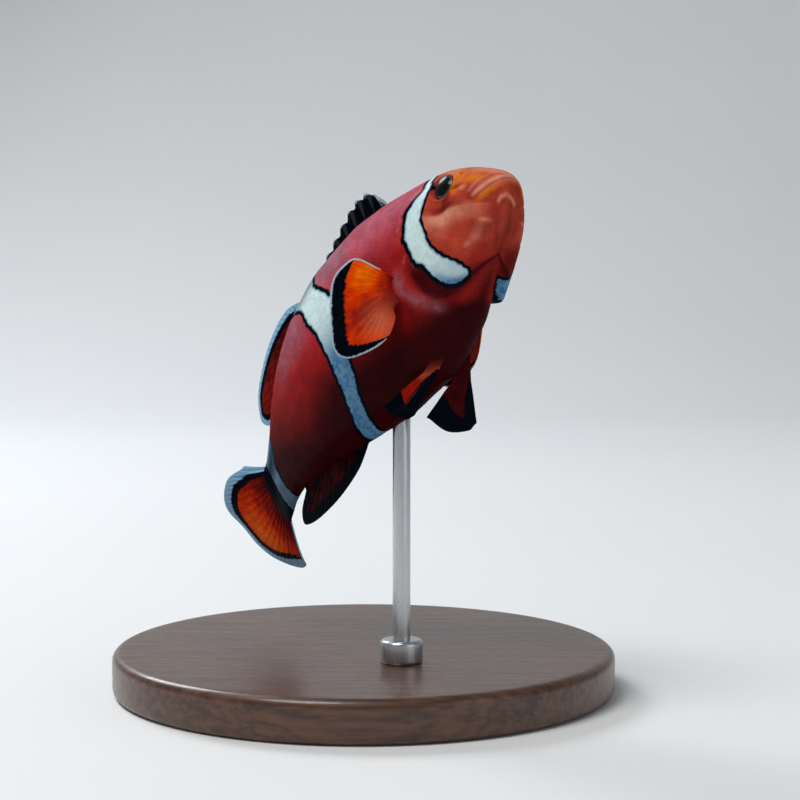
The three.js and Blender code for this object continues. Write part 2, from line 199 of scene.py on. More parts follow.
def bend(p):
    """Straight points to the bent fish, in metres, before it is set on its stand."""
    x = np.clip(p[:, 0], 0, SPINE_END - 1e-6)
    i = x.astype(int)
    part = (x - i)[:, None, None]
    at, back, right, up = np.moveaxis(SPINE[i] * (1 - part) + SPINE[i + 1] * part, 1, 0)
    return UNIT * (at + back * (p[:, :1] - x[:, None]) + right * p[:, 1:2] + up * p[:, 2:])


TURN = np.array(SWIM)
EYE_LOW, EYE_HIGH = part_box("eye_right")
PLACE = np.array((EYE_LOW + EYE_HIGH) / 2) - TURN @ bend(EYE[None])[0]


def on_stand(p):
    return bend(p) @ TURN.T + PLACE


# ---- The body ----


def body(x, angle):
    """Straight points of the plain body at stations x and angles round it."""
    snout = np.sqrt(1 - np.clip(1 - x / SNOUT_ROUND, 0, 1) ** SNOUT_POWER)
    beyond = np.clip((x - 100) / LOBE, 0, 1)
    sine, cosine = np.sin(angle), np.cos(angle)
    upper = cosine > 0
    depth = np.where(upper, smooth(STATIONS, BACK, x), smooth(STATIONS, BELLY, x))
    depth = depth * snout * np.sqrt(1 - beyond**3)
    width = smooth(STATIONS, SIDE, x) * snout * np.sqrt(1 - beyond**2)
    power = np.where(upper, BACK_POWER, BELLY_POWER)
    y = width * np.sign(sine) * np.abs(sine) ** power
    z = smooth(STATIONS, MIDDLE, x) + depth * np.sign(cosine) * np.abs(cosine) ** power
    return join(x, y, z)


def outward(x, angle):
    """The plain body's outward direction at each point."""
    dx, da = 0.02, 0.004
    x = np.clip(x, 0.03, 99.9)
    along = body(x + dx, angle) - body(np.maximum(x - dx, 1e-4), angle)
    around = body(x, angle + da) - body(x, angle - da)
    return unit(np.cross(along, around))


EYE_AXIS = unit(np.array([-0.18, 0.94, 0.26]))
EYE_SEAT = EYE + np.array([-0.1, -0.15, -0.6])

ARC = 0.2  # units of length a degree round the body is worth near the gill covers
# The free edge of the gill covers, as (station, degrees from the back), and the cheek's fold as (x, z).
GILL_EDGE = spline(
    [(20.4, 52), (22.2, 66), (24.2, 80), (25.9, 98), (26.3, 112),
     (26, 126), (24.4, 139), (20.6, 152), (15.4, 165), (12.4, 180)],
    np.linspace(0, 1, 48),
) * [1, ARC]
CHEEK_FOLD = spline([(18.6, 6.2), (17.4, 1), (15.6, -4.2), (12.4, -8.4), (8.6, -9.2)], np.linspace(0, 1, 16))
CHEEK_RIDGE = spline(
    [(17.3, 2.0), (14.7, -0.4), (12.9, -1.6), (10.8, -2.0), (9.0, -2.9), (6.8, -4.4)], np.linspace(0, 1, 26)
)
MOUTH_HEIGHT, MOUTH_DROP, MOUTH_CORNER = -2.75, -0.2, 5.9
LIP_TOP = ([0, 1.6, 4.2, 6.0], [0.1, -0.2, -1.2, -3.2])
THROAT_GROOVE = ([3.6, 5.3, 8.5, 11.2, 12.6], [3.2, 3.0, 2.1, 1.0, 0.5])  # half width at each station
CHIN_FOLD = [(3.1, -0.8), (2.3, 0.1), (1.9, 1.3), (2.5, 2.5), (3.3, 3.0)]  # (x, y) under the chin
NOSTRIL = (5.6, 3.3)
LEFT_FLARE = ([5, 7.7, 12.3, 16.3, 19], [0, 0.45, 1.3, 1.6, 1.7])  # the left gill cover stands out more


def turn_of(angle):
    """Degrees from the back, either way round."""
    return np.abs(np.degrees(np.arctan2(np.sin(angle), np.cos(angle))))


def above_mouth(x, z):
    return z - (MOUTH_HEIGHT + MOUTH_DROP * x)


def behind_gills(x, turned):
    """How far each point lies behind the gill covers' free edge."""
    return -line_distance(x, turned * ARC, GILL_EDGE)[0]


def sculpt(x, angle, p):
    """How far the skin stands out from the plain body."""
    y, z = np.abs(p[:, 1]), p[:, 2]
    out = 0 * x - COAT

    above = above_mouth(x, z)
    mouth = fade(MOUTH_CORNER - 1.1, MOUTH_CORNER + 0.2, x)
    out -= 0.26 * hump(above + 0.15, 0.2) * mouth
    out += 0.13 * hump(above - 0.45, 0.36) * mouth
    out += 0.08 * hump(above + 0.9, 0.5) * mouth
    out -= 0.12 * hump(z - np.interp(x, *LIP_TOP), 0.45) * fade(5.4, 6.6, x)
    out -= 0.14 * hump(above + 2.0, 0.5) * fade(2.6, 4.4, x)
    corner = np.hypot(x - MOUTH_CORNER, above_mouth(MOUTH_CORNER, z))
    out -= 0.25 * hump(corner, 0.6)

    under = ease(-3.5, -5, z)
    chin, _ = line_distance(x, p[:, 1], CHIN_FOLD)
    out += 0.16 * hump(chin, 0.42) * under
    out -= 0.1 * hump(chin + 0.9, 0.6) * under * fade(3.4, 4.6, x)
    throat = hump(y - np.interp(x, *THROAT_GROOVE), 0.8) * plateau(3.5, 8, 10.4, 12.6, x)
    out -= 0.14 * throat * under

    turned = turn_of(angle)
    edge = behind_gills(x, turned)
    free = ease(54, 70, turned) * (1 - 0.6 * ease(160, 178, turned))
    out -= 0.42 * ease(-0.15, 0.5, edge) * hump(np.maximum(edge, 0), 2.1) * free
    out += 0.08 * hump(edge + 0.8, 0.9) * free
    flare = fade(-0.6, 0.5, edge) * plateau(95, 130, 158, 172, turned)
    out += np.where(p[:, 1] < 0, np.interp(x, *LEFT_FLARE), 0.25 * ease(10, 19, x)) * flare
    fold, _ = line_distance(x, z, CHEEK_FOLD)
    out -= 0.1 * hump(fold, 0.4) * ease(2, 4, y)
    out += 0.06 * hump(fold + 1.1, 0.8) * ease(2, 4, y)

    ridge_off, ridge_at = line_distance(x, z, CHEEK_RIDGE)
    on_cheek = hump(ridge_at - 0.5, 0.5) * ease(3, 5, y)
    out += 0.2 * plateau(-0.5, 0.5, 0.8, 3.4, ridge_off) * on_cheek
    out -= 0.16 * hump(ridge_off + 1.0, 0.7) * on_cheek

    rel = join(x, y, z) - EYE_SEAT
    axial = rel @ EYE_AXIS
    ring = np.sqrt(np.maximum((rel**2).sum(1) - axial**2, 0))
    near = axial > 0
    out -= near * (2.6 * fade(2.5, 3.0, ring) + 0.45 * fade(2.9, 4.2, ring))
    out += near * 0.34 * hump(ring - 3.3, 0.42)
    out -= near * 0.1 * hump(ring - 4.3, 0.5) * ease(1, -1, z - 3)

    nostril = np.hypot(x - NOSTRIL[0], z - NOSTRIL[1])
    out -= (0.5 * hump(nostril, 0.3) - 0.12 * hump(nostril - 0.5, 0.2)) * (y > 2)
    jowl, _ = line_distance(x, z, [(6.0, -3.9), (7.4, -2.2), (9.6, -0.6)])
    out -= 0.14 * hump(jowl, 0.35) * ease(2, 4, y)

    out += 1.25 * hump(np.hypot((x - 30.9) / 0.8, z + 6.0), 3.3) * (y > 4)
    out += 0.7 * hump(np.hypot(x - 37.5, y - 4.0), 2.4) * (z < -10)
    out += 0.5 * hump(y, 1.0) * plateau(28, 32, 86, 90, x) * (z > 0)
    out += 0.4 * hump(y, 1.0) * plateau(62, 65, 86, 90, x) * (z < 0)
    out += 0.03 * np.sin(1.1 * x + 0.4 * z) * np.sin(0.5 * z - 0.3 * x) * ease(30, 40, x)
    return out


def skin_surface(x, angle):
    plain = body(x, angle)
    return plain + outward(x, angle) * sculpt(x, angle, plain)[:, None]


# ---- Markings, painted shade and painted highlights ----

# Each bar's front and rear edges, as stations at angles from the back. black is the width of its
# black edge, and behind that of the rear one where it differs. The bar ends at an angle, and wider
# says how much further its rear edge runs low on the left side.
HEAD_BAR = dict(
    front=([0, 35, 53, 66, 74, 86, 97, 109, 129, 148, 156],
           [12.4, 12.4, 12.8, 14.2, 15.8, 17.9, 18.6, 19, 17.6, 16.8, 17.4]),
    rear=([0, 35, 53, 62, 70, 83, 88, 105, 110, 120, 132, 142, 156],
          [13.9, 13.9, 14.6, 17.2, 20.3, 22.5, 23.5, 23.7, 22.9, 22.5, 22.1, 20.8, 17.6]),
    black=0.66,
    behind=0.9,
    ends=153,
    wider=2.4,
)
MIDDLE_BAR = dict(
    front=([0, 45, 59, 68, 76, 90, 111, 140, 167, 180],
           [52.6, 52.2, 50.7, 49.0, 48.3, 50.3, 51.8, 56.0, 58.4, 59.0]),
    rear=([0, 27, 55, 61, 88, 105, 122, 160, 180], [62.6, 62.0, 57.2, 57.0, 55.4, 56.0, 57.4, 61.7, 62.6]),
    black=0.8,
    ends=220,
)
TAIL_BAR = dict(
    front=([0, 69, 90, 135, 180], [88.2, 88.0, 90.8, 92.0, 92.6]),
    rear=([0, 40, 90, 135, 180], [97.6, 96.8, 95.2, 96.2, 97.2]),
    black=0.9,
    behind=7.0,
    ends=220,
)

CHEEK_END, HEAD_END, MIDDLE_FROM, TAIL_FROM = 19, 30, 35, 80  # stations that part the markings

# Softly edged patches of colour, painted shade and painted highlights, most of them on the head: station,
# height, half length, half width, tilt in degrees.
AMBER_PATCHES = [
    (6.6, 3.2, 2.8, 2.0, -20), (4.0, 0.6, 2.6, 1.2, 35), (7.9, 1.2, 1.0, 1.6, 0), (3.2, -4.4, 2.2, 0.6, -12),
]
# Painted highlights on the cheek.
CHEEK_PATCHES = [(13.0, -3.4, 4.6, 1.7, -8), (16.3, -1.0, 1.5, 2.6, 0), (8.6, -3.6, 2.4, 0.8, 25)]
# Painted shade in the folds under the eye.
FOLD_SHADE_PATCHES = [(11.0, 0.0, 2.4, 0.7, -25), (7.4, 0.9, 1.2, 0.5, 20)]
# Painted highlights on the lower cheek, under the jaw and on the snout.
HIGHLIGHT_SPOTS = [(12.9, -9.5, 0.9, 0.4, 0), (7.2, -8.2, 0.9, 0.5, 40), (6.2, -0.3, 0.9, 0.6, 30)]
CHEEK_GLARE = [(10.0, -9.1, 3.4, 0.8, -17)]
# Painted sheen on the shoulder, and the line of the breast's painted sheen as (x, z).
SHEEN_SPOTS = [(23.7, -4.6, 1.0, 0.8, 0)]
BREAST_SHEEN_LINE = [(29.2, -3.2), (30.2, -7), (28.6, -11), (26.5, -13.6)]
# A painted highlight above the upper lip, as (x, z).
LIP_STREAK = [(5.4, -2.0), (3.7, -1.1), (1.6, -0.5)]


def patches(x, z, shapes):
    total = 0 * x
    for cx, cz, half_length, half_width, tilt in shapes:
        c, s = math.cos(math.radians(tilt)), math.sin(math.radians(tilt))
        a, b = (x - cx) * c + (z - cz) * s, (z - cz) * c - (x - cx) * s
        total = np.maximum(total, np.exp(-((a / half_length) ** 2 + (b / half_width) ** 2) ** 1.5))
    return total


def bar_field(x, turned, left, bar, per_degree):
    """Distance inside a bar, in units and negative outside, and the width of its black edge."""
    phase = x[0]  # each mesh waves the edges a little differently
    inside = []
    wider = bar.get("wider", 0) * left * ease(120, 142, turned)
    for key, sign, extra in (("front", 1, 0), ("rear", -1, wider)):
        edge = smooth(*bar[key], turned) + extra
        slope = (smooth(*bar[key], turned + 1) - smooth(*bar[key], turned - 1)) / 2 / per_degree
        wobble = 0.12 * np.sin(turned * 0.31 + phase) + 0.08 * np.sin(turned * 0.83)
        inside.append(sign * (x - edge - wobble) / np.sqrt(1 + slope**2))
    inside.append((bar["ends"] + 15 * left - turned) * per_degree)
    low = np.minimum(inside[0], inside[1])
    reach = np.clip(0.5 + (inside[2] - low) / 2.4, 0, 1)
    within = inside[2] * (1 - reach) + low * reach - 0.6 * reach * (1 - reach) * 2
    black = np.where(inside[1] < inside[0], bar.get("behind", bar["black"]), bar["black"])
    return within, black


def paint(x, angle, p):
    """The markings at each point, painted shade and highlights too, as weights and distances that the
    materials colour.
    """
    turned = turn_of(angle)
    y, z = p[:, 1], p[:, 2]
    height = (smooth(STATIONS, BACK, x) + smooth(STATIONS, BELLY, x)) / 2
    mean_radius = np.sqrt((height**2 + smooth(STATIONS, SIDE, x) ** 2) / 2)
    per_degree = np.maximum(np.radians(mean_radius), 0.03)
    fields = np.array([
        bar_field(x, turned, y < 0, bar, per_degree) for bar in (HEAD_BAR, MIDDLE_BAR, TAIL_BAR)
    ])
    nearest = fields[:, 0].argmax(0)
    bars, black = fields[nearest, :, np.arange(len(x))].T
    edge = behind_gills(x, turned)
    bars = np.where((y < 0) & (x < HEAD_END) & (turned > 115), np.minimum(bars, 0.3 - edge), bars)

    # Painted shade: past shade_from the side turned away from the light darkens to maroon, partly the skin's
    # own deeper maroon.
    shade_from = smooth(
        [0, 12, 21, 25, 31, 40, 50, 60, 70, 76, 82, 90, 100],
        [186, 178, 166, 140, 128, 117, 111, 102, 103, 90, 64, 38, 32], x,
    )
    shade_reach = np.interp(x, [60, 78], [18, 60])
    # Painted shadow fills the band between the head bar and the gill cover's free edge, lies under that edge
    # and darkens the throat's left side.
    behind_bar = x - smooth(*HEAD_BAR["rear"], turned)
    between = ease(-0.3, 0.4, behind_bar) * fade(-0.2, 0.9, edge) * plateau(94, 112, 150, 162, turned)
    shadow = np.interp(turned, [100, 120, 140, 155, 168, 180], [1.2, 2.0, 1.8, 1.2, 0.7, 0.5])
    maroon_and_shade = np.maximum.reduce([
        ease(-shade_reach, shade_reach, turned - shade_from),
        0.9 * between * (x < HEAD_END),
        0.95 * hump(edge + 0.5 * shadow, shadow) * ease(90, 114, turned) * (x < HEAD_END),
        0.7 * plateau(8, 13, 19, 22, x) * ease(0, -3, y) * ease(128, 146, turned),
    ])
    head_front = smooth(*HEAD_BAR["front"], np.minimum(turned, 150))
    head = fade(-1.5, 4.5, x - head_front) * (1 - 0.75 * ease(8, 14, x) * ease(125, 155, turned))
    amber = patches(x, z, AMBER_PATCHES) * head

    # Painted highlights where light catches the head: the upper lip's band and a streak above it, the chin's
    # fold, the cheek ridge and patches, spots on the cheek and throat, the top of the snout and glints along
    # the gill covers' free edge.
    ridge_off, ridge_at = line_distance(x, z, CHEEK_RIDGE)
    above = above_mouth(x, z)
    lip = hump(above - 0.45, np.interp(x, [0, 2, 5.5], [1.0, 0.85, 0.4])) * fade(4.8, 6.2, x)
    lip_streak, _ = line_distance(x, z, LIP_STREAK)
    under = ease(-3.5, -5, z)
    chin, _ = line_distance(x, y, CHIN_FOLD)
    edge_glints = hump(edge + 0.5 * np.sin(0.9 * turned), 0.62) * plateau(62, 74, 92, 108, turned)
    breaks = np.sin(1.27 * turned) + np.sin(0.61 * turned + 1) + 0.4 * np.sin(2.9 * turned)
    pale_and_highlight = np.maximum.reduce([
        0.85 * lip,
        0.45 * hump(lip_streak, 0.35) * (np.abs(y) > 1),
        0.65 * hump(chin, 0.3) * under,
        0.95 * plateau(-0.2, 0.2, 0.9, 4.0, ridge_off) * hump(ridge_at - 0.5, 0.5) * (x < CHEEK_END),
        0.3 * patches(x, z, CHEEK_PATCHES) * (x < CHEEK_END),
        0.55 * patches(x, z, HIGHLIGHT_SPOTS),
        0.28 * patches(x, z, CHEEK_GLARE),
        0.7 * fade(36, 84, turned) * fade(6, 13, x),
        0.42 * edge_glints * ease(0.3, 1.5, breaks) * (x < HEAD_END),
    ])
    # Painted shade in creases and hollows: the mouth line, the folds under the eye, the groove above the
    # cheek ridge, the throat's grooves and the hollow behind the gill covers' free edge.
    throat = hump(np.abs(y) - np.interp(x, *THROAT_GROOVE), 0.8) * plateau(4, 8, 10.4, 12.6, x)
    gill = ease(-0.4, 0.5, edge) * hump(np.maximum(edge, 0), 0.9) * ease(80, 130, turned) * (x < HEAD_END)
    crease_shade = np.maximum.reduce([
        0.12 * hump(above + 0.15, 0.18) * fade(5.6, 6.4, x),
        0.7 * patches(x, z, FOLD_SHADE_PATCHES),
        0.9 * hump(ridge_off + 0.9, 0.9) * hump(ridge_at - 0.45, 0.36) * (x < CHEEK_END),
        0.3 * throat * under,
        0.95 * gill,
    ])

    # Painted shade on the white bars: slate blue low on the head bar and on its far side, low on the middle
    # bar and over the tail bar.
    low_end = 0.25 * ease(110, 135, turned) + 0.75 * ease(114, 136, turned) * fade(0.3, 2.2, -behind_bar)
    head_blue_shade = np.where(y < 0, ease(116, 146, turned), low_end)
    # Painted shade greys the tail bar's sides and lower part; the middle bar's top greys too, partly its own
    # dusky colour and partly painted shade.
    tail_bar_shade = np.minimum(0.95 * hump(turned - 74, 26) + 0.55 * ease(96, 120, turned), 1)
    streak, _ = line_distance(x, z, BREAST_SHEEN_LINE)
    return {
        "bars": bars,
        "black": black,
        "maroon_and_shade": maroon_and_shade,
        "head": head,
        "amber": amber,
        "pale_and_highlight": pale_and_highlight * (1 - 0.8 * amber),
        "crease_shade": (1 - 0.9 * maroon_and_shade) * crease_shade,
        "dusky_and_shade": np.select([x > TAIL_FROM, x > MIDDLE_FROM], [tail_bar_shade, 0.6 * fade(38, 56, turned)], 0),
        "blue_shade": np.select([x > TAIL_FROM, x > MIDDLE_FROM], [0.8, ease(76, 104, turned)], head_blue_shade),
        "lit": fade(52, 92, turned) * fade(56, 72, x),
        # Painted sheen: mauve-grey light along the nape, the back and towards the tail, on the breast and the
        # shoulder.
        "painted_sheen": np.maximum.reduce([
            0.75 * plateau(36, 42, 54, 58, x) * fade(50, 68, turned),
            0.34 * plateau(13, 22, 36, 42, x) * fade(50, 72, turned),
            0.45 * plateau(57, 60, 66, 78, x) * fade(62, 84, turned),
            0.4 * hump(streak, 1.2) * ease(2, 4, np.abs(y)),
            0.45 * patches(x, z, SHEEN_SPOTS),
        ]),
    }


# ---- Mesh helpers ----


def link(name, data):
    made = bpy.data.objects.new(name, data)
    bpy.context.scene.collection.objects.link(made)
    return made


def add_mesh(name, points, faces, uvs, floats, material, normals=None):
    """A smooth mesh piece. uvs has a row for each face corner, floats a value for each point."""
    mesh = bpy.data.meshes.new(name)
    mesh.from_pydata(points.tolist(), [], faces)
    mesh.update()
    mesh.uv_layers.new(name="OFBake").data.foreach_set("uv", np.asarray(uvs, np.float32).ravel())
    for key, values in floats.items():
        mesh.attributes.new(key, "FLOAT", "POINT").data.foreach_set("value", np.asarray(values, np.float32))
    mesh.shade_smooth()
    if normals is not None:
        mesh.normals_split_custom_set_from_vertices(normals.tolist())
    mesh.materials.append(material)
    piece = link(name, mesh)
    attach(piece, "root")
    return piece


def face_out(piece):
    """Turns a closed piece's faces outward."""
    shape = bmesh.new()
    shape.from_mesh(piece.data)
    if shape.calc_volume(signed=True) < 0:
        piece.data.flip_normals()
    shape.free()


def inset(share):
    """A place on the unwrapped map, kept off its borders."""
    return 0.01 + 0.98 * share


def tube_faces(rows, around):
    """Faces of a closed tube of rings, with a point at each end, and each corner's (u, v)."""
    tips = {-1: rows * around, rows: rows * around + 1}
    faces, uvs = [], []
    for i, j in np.ndindex(rows + 1, around):
        here, ahead = i - 1, i
        corners = [(here, j), (ahead, j), (ahead, j + 1), (here, j + 1)]
        if here in tips:
            corners = [(here, j + 0.5), (ahead, j), (ahead, j + 1)]
        elif ahead in tips:
            corners = [(here, j), (ahead, j + 0.5), (here, j + 1)]
        faces.append([tips.get(row, row * around + column % around) for row, column in corners])
        uvs += [(column / around, (row + 1) / (rows + 1)) for row, column in corners]
    return faces, inset(np.array(uvs))


def revolve(profile, axis, across, around):
    """Points, faces and (u, v) of a closed turned form: profile is (radius, place along the axis)."""
    turn = circle(around)[:, None]
    spokes = np.cos(turn) * across + np.sin(turn) * np.cross(axis, across)
    inner = profile[1:-1, :, None, None]
    rings = inner[:, 0] * spokes + inner[:, 1] * axis
    points = np.concatenate([rings.reshape(-1, 3), profile[[0, -1], 1, None] * axis])
    return points, *tube_faces(len(inner), around)


# ---- Materials ----


def tone(red, green, blue):
    """A screen colour, 0 to 255, as linear values."""
    c = np.array([red, green, blue]) / 255
    return (*np.where(c <= 0.04045, c / 12.92, ((c + 0.055) / 1.055) ** 2.4).tolist(), 1)


class Look:
    """A material built from nodes round one Principled shader."""

    def __init__(self, name, **sockets):
        self.material = bpy.data.materials.new(name)
        self.material.use_nodes = True
        self.tree = self.material.node_tree
        self.shader = self.tree.nodes["Principled BSDF"]
        for key, value in sockets.items():
            self.set(self.shader.inputs[key.replace("_", " ")], value)

    def set(self, socket, value):
        if isinstance(value, bpy.types.NodeSocket):
            self.tree.links.new(value, socket)
        else:
            socket.default_value = value

    def node(self, kind, values=(), out=0, **properties):
        made = self.tree.nodes.new("ShaderNode" + kind)
        for key, value in properties.items():
            setattr(made, key, value)
        for key, value in dict(values).items():
            self.set(made.inputs[key], value)
        return made.outputs[out]

    def value(self, name):
        return self.node("Attribute", attribute_name=name, out="Fac")

    def math(self, operation, a, b, c=0.0):
        return self.node("Math", {0: a, 1: b, 2: c}, operation=operation)

    def span(self, value, low, high, to_low=0.0, to_high=1.0):
        values = {0: value, 1: low, 2: high, 3: to_low, 4: to_high}
        return self.node("MapRange", values, interpolation_type="SMOOTHSTEP")

    def mix(self, amount, a, b, blend="MIX"):
        made = self.tree.nodes.new("ShaderNodeMix")
        made.data_type, made.blend_type, made.clamp_factor = "RGBA", blend, True
        for socket, value in ((0, amount), (6, a), (7, b)):
            self.set(made.inputs[socket], value)
        return made.outputs[2]

    def noise(self, scale, detail=2.0, roughness=0.5, stretch=None):
        at = self.node("TexCoord", out="Object")
        if stretch:
            at = self.node("Mapping", {"Vector": at, "Scale": stretch})
        return self.node("TexNoise", {"Vector": at, "Scale": scale, "Detail": detail, "Roughness": roughness})

    def bump(self, height, strength, distance):
        normal = self.node("Bump", {"Height": height, "Strength": strength, "Distance": distance})
        self.set(self.shader.inputs["Normal"], normal)

    def colour(self, value):
        self.set(self.shader.inputs["Base Color"], value)


RED = tone(158, 30, 30)
LIT_RED = tone(190, 80, 98)
# Deep maroon for painted shade, partly the skin's own colour.
SHADE_MAROON = tone(52, 5, 9)
ORANGE = tone(182, 66, 48)
AMBER = tone(214, 112, 20)
# Pale pink for painted highlights.
HIGHLIGHT_PINK = tone(226, 150, 124)
# Dark red for painted shade in creases.
CREASE_SHADE = tone(92, 18, 16)
BLACK = tone(2, 13, 22)
WHITE = tone(212, 234, 233)
# Slate blue for painted shade on the white bars.
SHADE_BLUE = tone(58, 112, 156)
# Dark grey blue for the bars' dusky tops and painted shade.
DUSKY_SHADE = tone(24, 44, 62)
# Mauve grey for painted sheen.
SHEEN_MAUVE = tone(142, 112, 126)


def skin_look(name, plate):
    look = Look(name, Coat_Weight=0.05, Coat_Roughness=0.2, Specular_IOR_Level=0.0)
    # Painted light and shade over the skin's red, orange and amber: lit pink above, maroon shade below, pale
    # highlights.
    base = RED
    paints = (("lit", LIT_RED), ("head", ORANGE), ("amber", AMBER), ("maroon_and_shade", SHADE_MAROON), ("pale_and_highlight", HIGHLIGHT_PINK))
    for key, colour in paints:
        base = look.mix(look.value(key), base, colour)
    # Painted sheen, broken up by noise.
    sheen_veil = look.math("MULTIPLY", look.value("painted_sheen"), look.span(look.noise(1100, 3), 0.3, 0.7, 0.5, 1.25))
    base = look.mix(sheen_veil, base, SHEEN_MAUVE)
    base = look.mix(look.value("crease_shade"), base, CREASE_SHADE)
    blotch = look.math("MULTIPLY", look.span(look.noise(330, 4, 0.6), 0.42, 0.66), look.value("head"))
    blotch = look.math("MULTIPLY", blotch, look.span(look.value("pale_and_highlight"), 0, 0.6, 1, 0))
    base = look.mix(look.math("MULTIPLY", blotch, 0.4), base, tone(120, 34, 26))
    mottle = look.span(look.noise(420, 3), 0.3, 0.7, 0.82, 1.12)
    grain = look.span(look.noise(5200, 2), 0.25, 0.75, 0.86, 1.1)
    shade = look.math("MULTIPLY", mottle, grain)
    if plate:
        shade = look.math("MULTIPLY", shade, look.span(look.value("rim"), 0.6, 1.0, 1.0, 0.93))
    base = look.mix(1.0, base, shade, "MULTIPLY")
    bars = look.math("ADD", look.value("bars"), look.span(look.noise(2600, 2), 0.2, 0.8, -0.07, 0.07))
    # The white turns blue where painted shade falls and next to the black edges.
    cool = look.math("MAXIMUM", look.value("blue_shade"), look.span(bars, 0.6, 0.0, 0.0, 0.75))
    white = look.mix(cool, WHITE, SHADE_BLUE)
    white = look.mix(look.span(look.noise(1300, 3), 0.35, 0.65, 0.0, 0.3), white, tone(150, 182, 190))
    # Dusky tops and painted shade on the bars.
    white = look.mix(look.value("dusky_and_shade"), white, DUSKY_SHADE)
    base = look.mix(look.span(look.math("DIVIDE", bars, look.value("black")), -1.25, -0.8), base, BLACK)
    base = look.mix(look.span(bars, -0.1, 0.12), base, white)
    look.colour(base)
    look.set(look.shader.inputs["Roughness"], look.span(look.noise(900, 2), 0.2, 0.8, 0.38, 0.54))
    pits = look.math("MULTIPLY_ADD", look.noise(7000, 2), 0.5, look.noise(2400, 2))
    look.bump(pits, 0.18, 0.00012)
    return look.material


# ---- Skin ----

SKIN_ROWS, SKIN_AROUND, LOBE_ROWS = 346, 270, 9
SKIN_CROWDING = 1.7


def make_skin():
    main = 100 * (np.arange(1, SKIN_ROWS + 1) / SKIN_ROWS) ** SKIN_CROWDING
    lobe = 100 + LOBE * np.sin(np.linspace(0, math.pi / 2, LOBE_ROWS + 2)[1:-1])
    stations = np.concatenate([main, lobe])
    x, angle = pairs(stations, math.pi + circle(SKIN_AROUND))
    plain, full = body(x, angle), skin_surface(x, angle)
    tips = np.array([[COAT, 0, MIDDLE[0]], [100 + LOBE, 0, 0]])
    points = np.concatenate([full, tips])
    x, angle = np.append(x, tips[:, 0]), np.append(angle, [math.pi / 2] * 2)
    plain = np.concatenate([plain, tips])
    faces, uvs = tube_faces(len(stations), SKIN_AROUND)
    marks, material = paint(x, angle, plain), skin_look("skin", False)
    skin = add_mesh("fish_skin", on_stand(points), faces, uvs, marks, material)
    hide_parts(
        "head", "upper_jaw", "lower_jaw", "gill_cover_right", "gill_cover_left",
        "trunk_front", "trunk_middle", "trunk_rear", "tail_stalk",
    )


# ---- Scales ----

SCALES_FROM, SCALES_TO = 13.0, 101.5  # stations
SCALES_PARTED = 48  # the station between the front and rear meshes
SCALE_ROWS = 84  # scales round the body
SCALE_STEP = 0.6  # from one ring of scales to the next, as a share of a scale's width
SCALE_LIFT = 0.08
SCALE_DOME = 0.16
SCALE_ROOT = 0.22  # how deep a scale's underside lies, so that no fold of the skin bares it
SCALE_RIM = 8  # points round a scale
SCALE_REAR, SCALE_FRONT, SCALE_SIDE = 0.66, 0.72, 0.58  # from its middle, as shares of its width
SCALE_PATCH = 0.00225  # a scale's size on the unwrapped map


def scale_sites():
    """Each scale's station, angle, width and distance behind the first scales, ring after ring."""
    sites = []
    x, odd = SCALES_FROM, 0
    turn = np.linspace(-math.pi, math.pi, 721)
    while x < SCALES_TO:
        ring = body(x + 0 * turn, turn)
        run = np.concatenate([[0], np.cumsum(np.linalg.norm(np.diff(ring, axis=0), axis=1))])
        width = run[-1] / SCALE_ROWS
        marks = (np.arange(SCALE_ROWS) + 0.5 * odd + 0.25) * width
        sites += [(x, a, width) for a in np.interp(marks, run, turn)]
        x += SCALE_STEP * width
        odd = 1 - odd
    sites = np.array(sites)
    x, angle = sites[:, :2].T
    p = body(x, angle)
    turned = turn_of(angle)
    starts = np.interp(turned, [0, 50, 62, 90, 120, 150, 180], [13, 14.5, 17.5, 18, 17, 17, 21])
    gill = behind_gills(x, turned)
    clear = (gill < -0.9) | (gill > 1.0) | (turned < 56)
    eye_far = np.linalg.norm(join(x, np.abs(p[:, 1]), p[:, 2]) - EYE, axis=1) > 4.6
    fin_root = np.hypot((x - 31.5) / 1.2, p[:, 2] + 6) > 2.2
    sites = np.column_stack([sites, x - starts])
    sites[:, 0] += 0.04 * sites[:, 2] * chance.standard_normal(len(sites))
    return sites[(x > starts) & clear & eye_far & fin_root]


